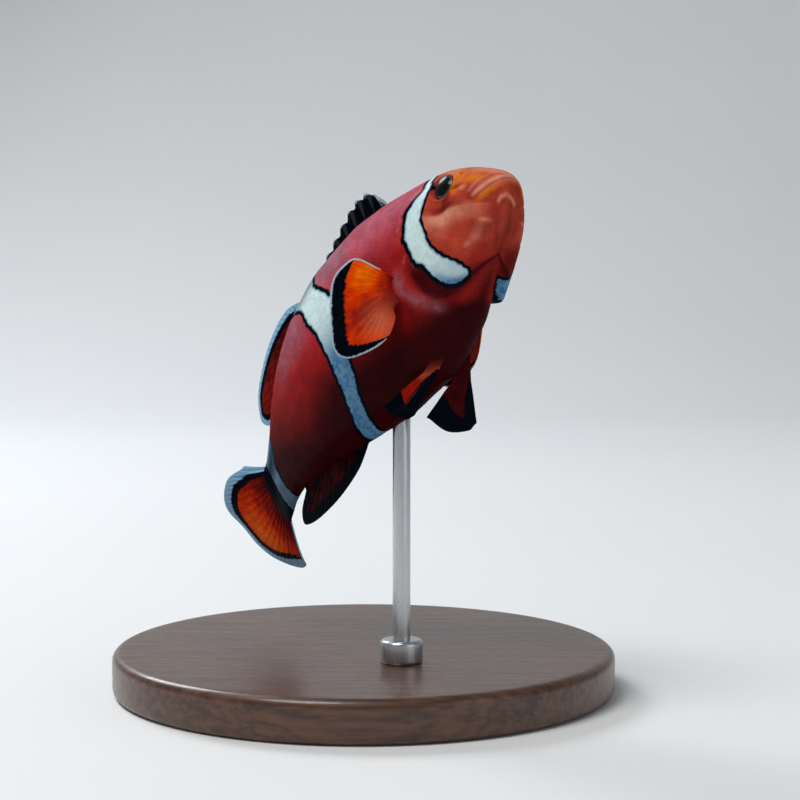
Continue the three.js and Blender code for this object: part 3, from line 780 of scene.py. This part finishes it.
def make_scales(name, sites, material):
    turn = circle(SCALE_RIM)
    # A scale's outline: its front lies under its neighbours, its free rear edge is rounded.
    reach = np.where(np.cos(turn) > 0, SCALE_REAR, SCALE_FRONT)
    outline = join(np.cos(turn) * reach, SCALE_SIDE * np.sin(turn))
    local = np.concatenate([outline, [[-0.05, 0]], outline * 0.96])
    top = np.arange(len(local)) <= SCALE_RIM
    rise = 0.6 * ease(-0.5, SCALE_REAR, local[:, 0]) + 0.1 * (1 - (local[:, 1] / SCALE_SIDE) ** 2)
    lift = rise - np.where(top, 0.3, 0.75)
    rim = np.where(top, ease(0.1, SCALE_REAR, np.hypot(local[:, 0], local[:, 1])), 1)
    size = sites[:, 2] * (1 + 0.05 * chance.standard_normal(len(sites)))
    soft = ease(0, 9, sites[:, 3])
    site_x, site_angle = sites[:, :2].T
    per_radian = np.linalg.norm(body(site_x, site_angle + 0.01) - body(site_x, site_angle), axis=1) / 0.01
    x = (site_x[:, None] + size[:, None] * local[:, 0]).ravel()
    angle = (site_angle[:, None] + size[:, None] * local[:, 1] / per_radian[:, None]).ravel()
    plain, out = body(x, angle), outward(x, angle)
    raised = lift * (size * (0.5 + 0.5 * soft))[:, None] * SCALE_LIFT - np.where(top, 0, SCALE_ROOT)
    points = plain + out * (sculpt(x, angle, plain) + raised.ravel())[:, None]

    # The shading follows the skin, with each scale gently domed.
    along = unit(skin_surface(site_x + 0.08, site_angle) - skin_surface(site_x - 0.08, site_angle))
    around = unit(skin_surface(site_x, site_angle + 0.01) - skin_surface(site_x, site_angle - 0.01))
    relief = unit(np.cross(along, around)) - outward(site_x, site_angle)
    dome = SCALE_DOME * (local[:, :1] + 0.5 * ease(0.2, SCALE_REAR, local[:, :1])) * along[:, None]
    dome = dome + SCALE_DOME * local[:, 1:] * around[:, None]
    facing = unit(out + (relief[:, None] + dome * soft[:, None, None]).reshape(-1, 3))
    normals = unit(on_stand(points + 0.02 * facing) - on_stand(points))

    k = np.arange(SCALE_RIM)
    following = (k + 1) % SCALE_RIM
    low = SCALE_RIM + 1
    tops = join(np.full(SCALE_RIM, SCALE_RIM), k, following)
    walls = join(k, low + k, low + following, following)
    offsets = np.arange(len(sites))[:, None, None] * len(local)
    faces = [(offsets + part).reshape(-1, part.shape[1]) for part in (tops, low + k[None, ::-1], walls)]
    station = np.clip(site_x / 100, 0, 1) ** (1 / SKIN_CROWDING) * SKIN_ROWS / (SKIN_ROWS + LOBE_ROWS + 1)
    unwrapped = inset(join(np.mod(site_angle / (2 * math.pi) - 0.5, 1), station))
    uv = (unwrapped[:, None] + SCALE_PATCH * local[:, ::-1]).reshape(-1, 2)
    uvs = np.concatenate([uv[part].reshape(-1, 2) for part in faces])
    marks = paint(x, angle, plain)
    marks["rim"] = (rim * soft[:, None]).ravel()
    faces = [face for part in faces for face in part.tolist()]
    scales = add_mesh(name, on_stand(points), faces, uvs, marks, material, normals)


# ---- Eyes ----

EYE_AROUND = 72
PUPIL, IRIS = 2.24, 2.44


def make_eyes():
    look = Look("eyeball", Roughness=0.3, Coat_Weight=0.3, Coat_Roughness=0.02, Specular_IOR_Level=0.03)
    ring = look.value("ring")
    streaks = look.noise(3600, 3)
    pupil = look.mix(streaks, tone(2, 3, 5), tone(7, 10, 15))
    rim = look.mix(streaks, tone(40, 56, 70), tone(66, 80, 92))
    outer = look.mix(look.span(streaks, 0.3, 0.7), tone(134, 70, 36), tone(78, 36, 24))
    coloured = look.mix(look.span(ring, PUPIL - 0.05, PUPIL + 0.1), pupil, rim)
    look.colour(look.mix(look.span(ring, IRIS - 0.06, IRIS + 0.12), coloured, outer))
    look.bump(streaks, 0.12, 0.00004)

    cap = np.linspace(0, 1, 14)
    front = join(2.5 * cap, 2.42 - 0.76 * cap**2.4)
    polar = np.radians(np.linspace(58.5, 180, 26))
    back = 3.05 * join(np.sin(polar), np.cos(polar))
    back[-1, 0] = 0
    ball = np.concatenate([front, back])
    rings = np.where(ball[:, 1] > 0, ball[:, 0], 3.0)
    rings = np.concatenate([np.repeat(rings[1:-1], EYE_AROUND), rings[[0, -1]]])
    for side, word in ((1, "right"), (-1, "left")):
        axis = EYE_AXIS * [1, side, 1]
        points, faces, uvs = revolve(ball, axis, unit(np.cross(axis, [0, 0, 1])), EYE_AROUND)
        points = on_stand(points + EYE_SEAT * [1, side, 1])
        eye = add_mesh(f"eye_{word}_ball", points, faces, uvs, {"ring": rings}, look.material)
        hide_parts(f"eye_{word}")


# ---- Fins ----

MEMBRANE = 0.09  # half thickness between the rays
FIN_ROUGHNESS = 0.42


def ray_relief(u, v, rays, branching):
    """1 on a ray's crest and 0 between rays. Soft rays branch towards the margin."""
    place = u * rays
    off = place - np.round(place)
    split = 0.24 * ease(0.35, 0.95, v) * branching
    again = 0.11 * ease(0.7, 1.0, v) * branching
    near = np.abs(np.abs(np.abs(off) - split) - again)
    return hump(near, 0.15 - 0.05 * branching * ease(0.4, 0.8, v)), off


def fin_look(name, margin):
    look = Look(
        name, Roughness=FIN_ROUGHNESS, Coat_Weight=0.04, Coat_Roughness=0.22, Specular_IOR_Level=0.0
    )
    warm = look.math("ADD", look.value("warm"), look.span(look.noise(700, 3), 0.3, 0.7, -0.06, 0.06))
    ramp = look.tree.nodes.new("ShaderNodeValToRGB")
    stops = [
        (0.0, tone(20, 3, 6)), (0.25, tone(78, 10, 12)), (0.45, tone(150, 24, 8)),
        (0.65, tone(214, 56, 0)), (0.82, tone(230, 98, 2)), (1.0, tone(236, 140, 14)),
    ]
    while len(ramp.color_ramp.elements) < len(stops):
        ramp.color_ramp.elements.new(0.5)
    for element, (at, colour) in zip(ramp.color_ramp.elements, stops):
        element.position, element.color = at, colour
    look.set(ramp.inputs[0], warm)
    base = look.mix(look.value("pale_and_highlight"), ramp.outputs[0], tone(214, 120, 84))
    ray = look.value("ray")
    shade = look.span(ray, 0.0, 1.0, 0.9, 1.06)
    base = look.mix(1.0, base, shade, "MULTIPLY")
    band = look.math("ADD", look.value("band"), look.span(look.noise(3000, 2), 0.2, 0.8, -0.07, 0.07))
    band = look.math("ADD", band, look.span(ray, 0, 1, 0.04, -0.06))
    base = look.mix(look.span(band, 1.1, 0.86), base, tone(2, 8, 16))
    rim = look.mix(look.span(ray, 0, 1, 0, 0.3), margin, tone(200, 220, 232))
    base = look.mix(look.span(band, 0.06, -0.12), base, rim)
    look.colour(base)
    look.bump(look.math("MULTIPLY_ADD", look.noise(5200, 2), 0.4, look.value("joint")), 0.3, 0.00008)
    return look.material


def make_fin(node, place, aside, columns, rows, rays, branching, outline, flat, widths, warm, material,
             pale_and_highlight=None, stiff=0.33, wave=None, ribbed=(-0.15, 0.25)):
    """A sheet of rays. place(u, v) is its middle, flat(p) its own plane, widths the margin's bands."""
    u, v = pairs(np.linspace(0, 1, columns + 1), np.linspace(0, 1, rows + 1))
    middle = place(u, v)
    relief, off = ray_relief(u, v, rays, branching)
    a, b = flat(middle)
    inward, along = line_distance(a, b, outline)
    inward = np.abs(inward)
    thickness = MEMBRANE + stiff * (1 - 0.72 * v) * ease(*ribbed, v) * relief
    thickness = thickness * (1 - 0.55 * ease(1.0, 0.0, inward / 1.2))
    if wave is not None:
        middle = middle + aside * wave(u, v)[:, None]
    thin, wide = (np.interp(along, *width) for width in widths)
    dark_share = np.where(wide < 0.06, 2, (inward - thin) / np.maximum(wide, 0.05))
    band = np.where(inward < thin, inward / np.maximum(thin, 0.01) - 1, dark_share)
    band = np.where(thin > 0.05, band, np.maximum(dark_share, 0.35))
    marks = {
        "band": np.clip(band, -1, 3),
        "warm": warm(u, v, a, b),
        "pale_and_highlight": pale_and_highlight(u, v, a, b) if pale_and_highlight else 0 * u,
        "ray": relief,
        "joint": 0.5 + 0.5 * np.sin(v * rows * 1.1) * relief,
    }
    half = aside * thickness[:, None]
    points = np.concatenate([middle + half, middle - half])
    index = np.arange(len(u)).reshape(columns + 1, rows + 1)
    face = join(index[:-1, :-1], index[1:, :-1], index[1:, 1:], index[:-1, 1:]).reshape(-1, 4)
    loop = np.concatenate([index[:-1, 0], index[-1, :-1], index[:0:-1, -1], index[0, :0:-1]])
    ahead = np.roll(loop, -1)
    other = len(u)
    rim = join(loop, loop + other, ahead + other, ahead)
    faces = np.concatenate([face, face[:, ::-1] + other, rim])
    sheet_uv = join(0.01 + 0.48 * u, 0.01 + 0.98 * v)
    uv = np.concatenate([sheet_uv, sheet_uv + [0.5, 0]])
    corner = uv[faces]
    corner[-len(rim):] = sheet_uv[join(loop, loop, ahead, ahead)]
    both = {key: np.tile(values, 2) for key, values in marks.items()}
    corner = corner.reshape(-1, 2)
    piece = add_mesh(f"{node}_sheet", on_stand(points), faces.tolist(), corner, both, material)
    face_out(piece)
    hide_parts(node)


def side_view(p):
    return p[:, 0], p[:, 2]


# The fins' margins as (x, z), the pectoral fin's from its own root.
SPINY_MARGIN = [
    (31, 20.4), (33.4, 26.2), (37.2, 27.9), (41.4, 27.0), (46, 25.2), (50.4, 23.4), (55, 22.0), (60.2, 21.2),
]
SOFT_MARGIN = [
    (61, 20.8), (66, 22.9), (73.5, 22.9), (81, 21.8), (88, 19.4), (91.4, 15), (90, 11.4), (87.4, 10),
]
ANAL_MARGIN = [
    (64, -19), (69, -20.4), (76, -20.2), (83, -18.9), (90, -16.6), (94.6, -13.6), (93, -10.8), (88.5, -9.6),
]
PECTORAL_MARGIN = [
    (0.8, 6.2), (4.6, 11.7), (8.4, 12.3), (12.2, 11.0), (15, 7.2), (17.5, 1.4),
    (18.9, -3.6), (17.4, -6.9), (13.8, -8.5), (9.6, -9.0), (6.2, -8.0), (3.2, -5.4),
]
FINE = np.linspace(0, 1, 90)
SIDEWAYS = np.array([0, 1.0, 0])


def make_middle_fin(node, ahead, behind, angle, corners, columns, rows, rays, widths, warm, material,
                    spiny=False, **more):
    """A fin in the middle plane, rooted in the back (angle 0) or belly (pi). Spines pleat it."""

    def place(u, v):
        x = ahead + (behind - ahead) * u
        root = body(x, angle + 0 * u)[:, 2] * 0.965
        tip, pleat = spline(corners, u), 0 * u
        if spiny:
            pleat = 0.34 * np.cos(2 * math.pi * rays * u)
            off = np.abs(u * rays - np.round(u * rays)) * 2
            root_point = join(x, root)
            tip = root_point + (tip - root_point) * (1 - 0.1 * off**1.4)[:, None]
        return join(x + (tip[:, 0] - x) * v, pleat * v, root + (tip[:, 1] - root) * v)

    make_fin(
        node, place, SIDEWAYS, columns, rows, rays, 0 if spiny else 1, spline(corners, FINE), side_view,
        widths, warm, material, **more,
    )


def make_middle_fins(edged, plain):
    make_middle_fin(
        "dorsal_fin_spiny", 29.5, 58.5, 0, SPINY_MARGIN, 160, 26, 10,
        (([0, 0.28, 0.36, 1], [0.5, 0.45, 0.18, 0.2]), ([0, 0.2, 0.7, 1], [6, 6.5, 5, 3])),
        lambda u, v, a, b: 0.04 + 0.2 * ease(0.8, 1, u), plain, spiny=True, stiff=0.36,
    )
    make_middle_fin(
        "dorsal_fin_soft", 59.4, 86, 0, SOFT_MARGIN, 180, 40, 15,
        (([0, 0.1, 0.8, 1], [0.9, 1.35, 1.35, 0.9]), ([0, 1], [1.2, 1.3])),
        lambda u, v, a, b: 0.2 + 0.16 * ease(0.2, 0.8, u), edged,
        wave=lambda u, v: 0.35 * v**2 * np.sin(9 * u + 0.6),
    )
    make_middle_fin(
        "anal_fin", 63, 87, math.pi, ANAL_MARGIN, 168, 40, 13,
        (([0, 1], [0, 0]), ([0, 0.5, 1], [2.4, 2.6, 2.2])),
        lambda u, v, a, b: 0.05 + 0 * v, plain,
        wave=lambda u, v: 0.35 * v**2 * np.sin(8 * u + 2),
    )


def make_tail_fin(edged):
    fan = math.radians(78)
    root = 100.46

    def tip(u):
        angle = fan * (1 - 2 * u)
        size = 1 - 0.13 * ease(0.13, 0, u) ** 1.5
        return join(root + 26.4 * size * np.cos(angle) ** 0.75, 14.6 * size * np.sin(angle))

    def place(u, v):
        end = tip(u)
        start_z = 7.4 - 14.4 * u
        start_x = root - 0.8
        return join(start_x + (end[:, 0] - start_x) * v, 0 * u, start_z + (end[:, 1] - start_z) * v)

    def warm(u, v, a, b):
        # The orange is brightest in the middle and darker towards the root and edges, partly painted light
        # and painted shade.
        centre = hump(np.hypot((v - 0.64) / 0.42, (u - 0.58) / 0.5), 1)
        return 0.1 + 0.6 * centre + 0.12 * ease(0.3, 0.8, v)

    upper = join(*side_view(place(np.zeros(30), np.linspace(0.12, 1, 31)[:-1])))
    lower = join(*side_view(place(np.ones(30), np.linspace(1, 0.12, 31)[1:])))
    make_fin(
        "tail_fin", place, SIDEWAYS, 240, 70, 17, 1,
        np.concatenate([upper, tip(FINE), lower]), side_view,
        (
            ([0, 0.1, 0.2, 0.3, 0.5, 0.65, 0.76, 0.8, 0.84, 1],
             [0.9, 1.5, 1.9, 2.1, 2.4, 3.0, 2.8, 1.7, 0.5, 0.35]),
            ([0, 0.1, 0.2, 0.3, 0.6, 0.74, 0.8, 0.84, 1], [0.8, 1.2, 1.7, 2.0, 2.3, 1.8, 1.0, 0.4, 0.3]),
        ),
        warm, edged, stiff=0.34,
        wave=lambda u, v: 0.9 * v**2 * np.sin(11 * u + 0.5) * ease(0.2, 0.6, u),
    )


def make_breast_fin(side, word, spread, plain):
    out = math.radians(spread)
    x0, y0, z0 = 30.8, 11.3815, -6

    def place(u, v):
        tip = spline(PECTORAL_MARGIN, u)
        back = (-0.7 + 2.2 * u) * (1 - v) + tip[:, 0] * v
        up = (2.7 - 4.6 * u) * (1 - v) + tip[:, 1] * v
        sunk = 1.7 * fade(0, 0.12, v) + 1.2 * u**3 * fade(0, 0.5, v)
        return join(x0 + back * math.cos(out), side * (y0 - sunk + back * math.sin(out)), z0 + up)

    def flat(p):
        return (p[:, 0] - x0) / math.cos(out), p[:, 2] - z0

    def warm(u, v, a, b):
        # Painted light and shade: brighter at the top, where light falls from above, and darker in a patch
        # below the middle; darker also towards the root.
        sun = hump(np.hypot((a - 3.4) / 1.3, b - 7.4), 4.4)
        shade_patch = hump(np.hypot((a - 9.0) / 1.3, (b + 0.6) / 0.9), 4.2)
        return 0.6 + 0.28 * sun - 0.2 * shade_patch - 0.24 * ease(5.5, 0.5, a) * (1 - 0.6 * sun)

    def pale_and_highlight(u, v, a, b):
        return 0.5 * hump(np.hypot(a - 6.6, (b + 4.8) / 1.1), 4.0)

    make_fin(
        f"pectoral_fin_{word}", place,
        np.array([-side * math.sin(out), math.cos(out), 0]), 200, 56, 16, 1,
        spline(PECTORAL_MARGIN, FINE), flat,
        (
            ([0, 0.08, 0.3, 0.45, 0.7, 0.82, 0.88, 1], [0.3, 0.5, 0.4, 0.24, 0.2, 0.34, 0, 0]),
            ([0, 0.1, 0.19, 0.27, 0.55, 0.64, 0.73, 0.82, 0.9, 1],
             [0.0, 0, 2.2, 3.5, 3.4, 2.9, 1.9, 0.8, 0, 0]),
        ),
        warm, plain, pale_and_highlight=pale_and_highlight, stiff=0.2,
        wave=lambda u, v: side * (0.5 * np.sin(math.pi * v) + 0.3 * v**2 * np.sin(10 * u)),
    )


def make_belly_fin(side, word, leading, trailing, plain):
    first, last = unit(np.array(leading)), unit(np.array(trailing))
    across = unit(np.cross(first, last))
    root = np.array([36.2 if side > 0 else 37, side * 4, -20.7])
    into_body = -2.8 * unit(first + last) + np.array([0, 0, 1.4])
    longest, shorter = (14.2, 0.8) if side > 0 else (13.0, 2.0)

    def place(u, v):
        direction = unit(first + (last - first) * u[:, None])
        length = longest - 1.2 * ease(0.15, 0, u) - shorter * ease(0.45, 1, u)
        start = root + join(-0.9 + 1.8 * u, -0.9 + 1.8 * u, 0 * u)
        start = start + into_body * fade(0, 0.22, v)[:, None]
        return start + direction * (v * length)[:, None]

    def flat(p):
        return (p - root) @ first, (p - root) @ np.cross(across, first)

    leading_edge = place(np.zeros(40), np.linspace(0.2, 1, 41)[:-1])
    outline = join(*flat(np.concatenate([leading_edge, place(FINE, np.ones(len(FINE)))])))
    make_fin(
        f"pelvic_fin_{word}", place, across, 110, 40, 6, 1, outline, flat,
        (([0, 1], [0, 0]), ([0, 0.1, 0.3, 0.42, 1], [0.6, 1.9, 3.0, 7.4, 7.8])),
        # The left fin lies in the belly's shade and is painted darker than the right.
        lambda u, v, a, b: 0.14 + (0.3 * ease(0.08, 0.24, v) if side > 0 else 0.06 * v), plain,
        pale_and_highlight=lambda u, v, a, b: 0.25 * hump(v - 0.24, 0.08) * (side > 0), stiff=0.24, ribbed=(0.08, 0.45),
        wave=lambda u, v: 0.3 * v**2 * np.sin(9 * u + 1),
    )


# ---- Stand ----

TURNED_AROUND = 160


def turned(node, profile, at, material, slot):
    """A smooth turned piece in place of a CAD node: profile is (radius, height) in mm, from below."""
    points, faces, uvs = revolve(profile / 1000, np.array([0, 0, 1]), [1, 0, 0], TURNED_AROUND)
    piece = add_mesh(f"{node}_turned", points + [*at, 0], faces, uvs, {}, material)
    face_out(piece)
    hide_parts(node)


def rounded(radius, low, high, edge):
    """A disc's profile with rounded upper and lower edges."""
    turn = np.radians(np.linspace(0, 90, 8))
    flat = (radius - edge) * np.array([0, 0.25, 0.5, 0.75, 0.97])
    across = np.concatenate([flat, radius - edge + edge * np.sin(turn)])
    up = np.concatenate([0 * flat, edge - edge * np.cos(turn)])
    return join(np.append(across, across[::-1]), np.append(low + up, high - up[::-1]))


def make_stand():
    wood = Look("walnut", Coat_Weight=0.3, Coat_Roughness=0.15, Roughness=0.4)
    rings = wood.noise(70, 4, 0.6, (1, 14, 14))
    pores = wood.noise(600, 3, 0.7, (1, 14, 14))
    base = wood.mix(wood.span(rings, 0.35, 0.65), tone(58, 34, 22), tone(96, 60, 38))
    wood.colour(wood.mix(wood.span(pores, 0.55, 0.75, 0, 0.6), base, tone(34, 20, 14)))
    wood.set(wood.shader.inputs["Roughness"], wood.span(pores, 0.3, 0.8, 0.34, 0.5))
    wood.bump(pores, 0.12, 0.0001)

    steel = Look("brushed_steel", Metallic=1.0, Roughness=0.28)
    brushed = steel.noise(9000, 3, 0.6, (1, 1, 0.04))
    steel.colour(steel.mix(brushed, tone(176, 180, 184), tone(214, 216, 218)))
    steel.set(steel.shader.inputs["Roughness"], steel.span(brushed, 0.2, 0.8, 0.22, 0.36))
    steel.bump(brushed, 0.08, 0.00004)

    rod = np.array(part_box("stand_rod"))
    top = rod[1, 2] * 1000
    rod = rod.mean(0)
    turned("stand_base", rounded(35, 0, 6, 1.2), (0, 0), wood.material, "stand_wood")
    turned("stand_collar", rounded(2.9, 5.9, 9.2, 0.6), rod[:2], steel.material, "stand_steel")
    turned("stand_rod", rounded(1.2, 3, top, 0.2), rod[:2], steel.material, "stand_steel")


# ---- Floor, light and camera ----

TARGET = PLACE + np.array([-13.477, 15.945, -31.36]) / 1000
CAMERA_FAR, CAMERA_ABOVE = 0.31525, math.radians(5)
LENS = 104.3


def make_stage():
    look = Look("pale_floor", Roughness=0.7)
    look.colour(look.mix(look.noise(12, 3), tone(232, 234, 236), tone(238, 239, 240)))
    radius, wall, length = 0.35, 0.75, 3.0
    turn = np.linspace(0, math.pi / 2, 24)
    profile = [(-2.2, 0.0), (wall - radius, 0.0)]
    profile += [(wall - radius + radius * math.sin(t), radius - radius * math.cos(t)) for t in turn[1:]]
    profile.append((wall, 2.6))
    points = [(x, y, z) for y, z in profile for x in (-length, length)]
    faces = [(2 * i, 2 * i + 1, 2 * i + 3, 2 * i + 2) for i in range(len(profile) - 1)]
    mesh = bpy.data.meshes.new("floor")
    mesh.from_pydata(points, [], faces)
    mesh.shade_smooth()
    mesh.materials.append(look.material)
    floor = link("floor", mesh)
    floor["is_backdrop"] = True


def add_lamp(name, at, size, watts, colour):
    light = bpy.data.lights.new(name, "AREA")
    light.shape, light.size, light.energy, light.color = "DISK", size, watts, colour
    lamp = link(name, light)
    lamp.location = Vector(TARGET) + Vector(at)
    lamp.rotation_euler = (-Vector(at)).to_track_quat("-Z", "Y").to_euler()


def make_light():
    world = bpy.data.worlds.new("studio")
    world.use_nodes = True
    sky = world.node_tree.nodes["Background"]
    sky.inputs["Color"].default_value = (0.9, 0.95, 1.0, 1)
    sky.inputs["Strength"].default_value = 0.24
    bpy.context.scene.world = world
    add_lamp("key", (-0.25, -0.25, 0.65), 0.35, 3.2, (1, 0.98, 0.95))
    add_lamp("rim", (-0.3, 0.35, 0.35), 0.25, 1.7, (0.92, 0.96, 1))
    add_lamp("fill", (0.5, -0.4, 0.15), 0.5, 0.45, (1, 1, 1))


def make_camera():
    data = bpy.data.cameras.new("camera")
    data.lens, data.sensor_width = LENS, 36
    data.clip_start, data.clip_end = 0.01, 20
    camera = link("camera", data)
    towards = Vector((0, math.cos(CAMERA_ABOVE), -math.sin(CAMERA_ABOVE)))
    camera.location = Vector(TARGET) - towards * CAMERA_FAR
    camera.rotation_euler = towards.to_track_quat("-Z", "Y").to_euler()
    bpy.context.scene.camera = camera


make_camera()
make_stage()
make_light()
make_stand()
make_skin()
SITES, SCALE_LOOK = scale_sites(), skin_look("scales", True)
for side, half in (("right", SITES[:, 1] > 0), ("left", SITES[:, 1] <= 0)):
    for end, part in (("front", SITES[:, 0] < SCALES_PARTED), ("rear", SITES[:, 0] >= SCALES_PARTED)):
        make_scales(f"fish_scales_{side}_{end}", SITES[half & part], SCALE_LOOK)
make_eyes()
EDGED = fin_look("fin_pale_edge", tone(108, 162, 196))
PLAIN = fin_look("fin_thin_edge", tone(140, 160, 172))
make_middle_fins(EDGED, PLAIN)
make_tail_fin(EDGED)
make_breast_fin(1, "right", 18, PLAIN)
make_breast_fin(-1, "left", 9, PLAIN)
make_belly_fin(1, "right", (0.75, 0.35, -0.55), (0.92, 0.36, -0.14), PLAIN)
make_belly_fin(-1, "left", (0.66, -0.5, -0.56), (0.9, 0.18, -0.3), PLAIN)
bpy.context.scene.view_settings.view_transform = "Standard"


def plain(box):
    return [[float(v) for v in corner] for corner in box]


{"cad": plain(cad_bounds), "visual": plain(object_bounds())}
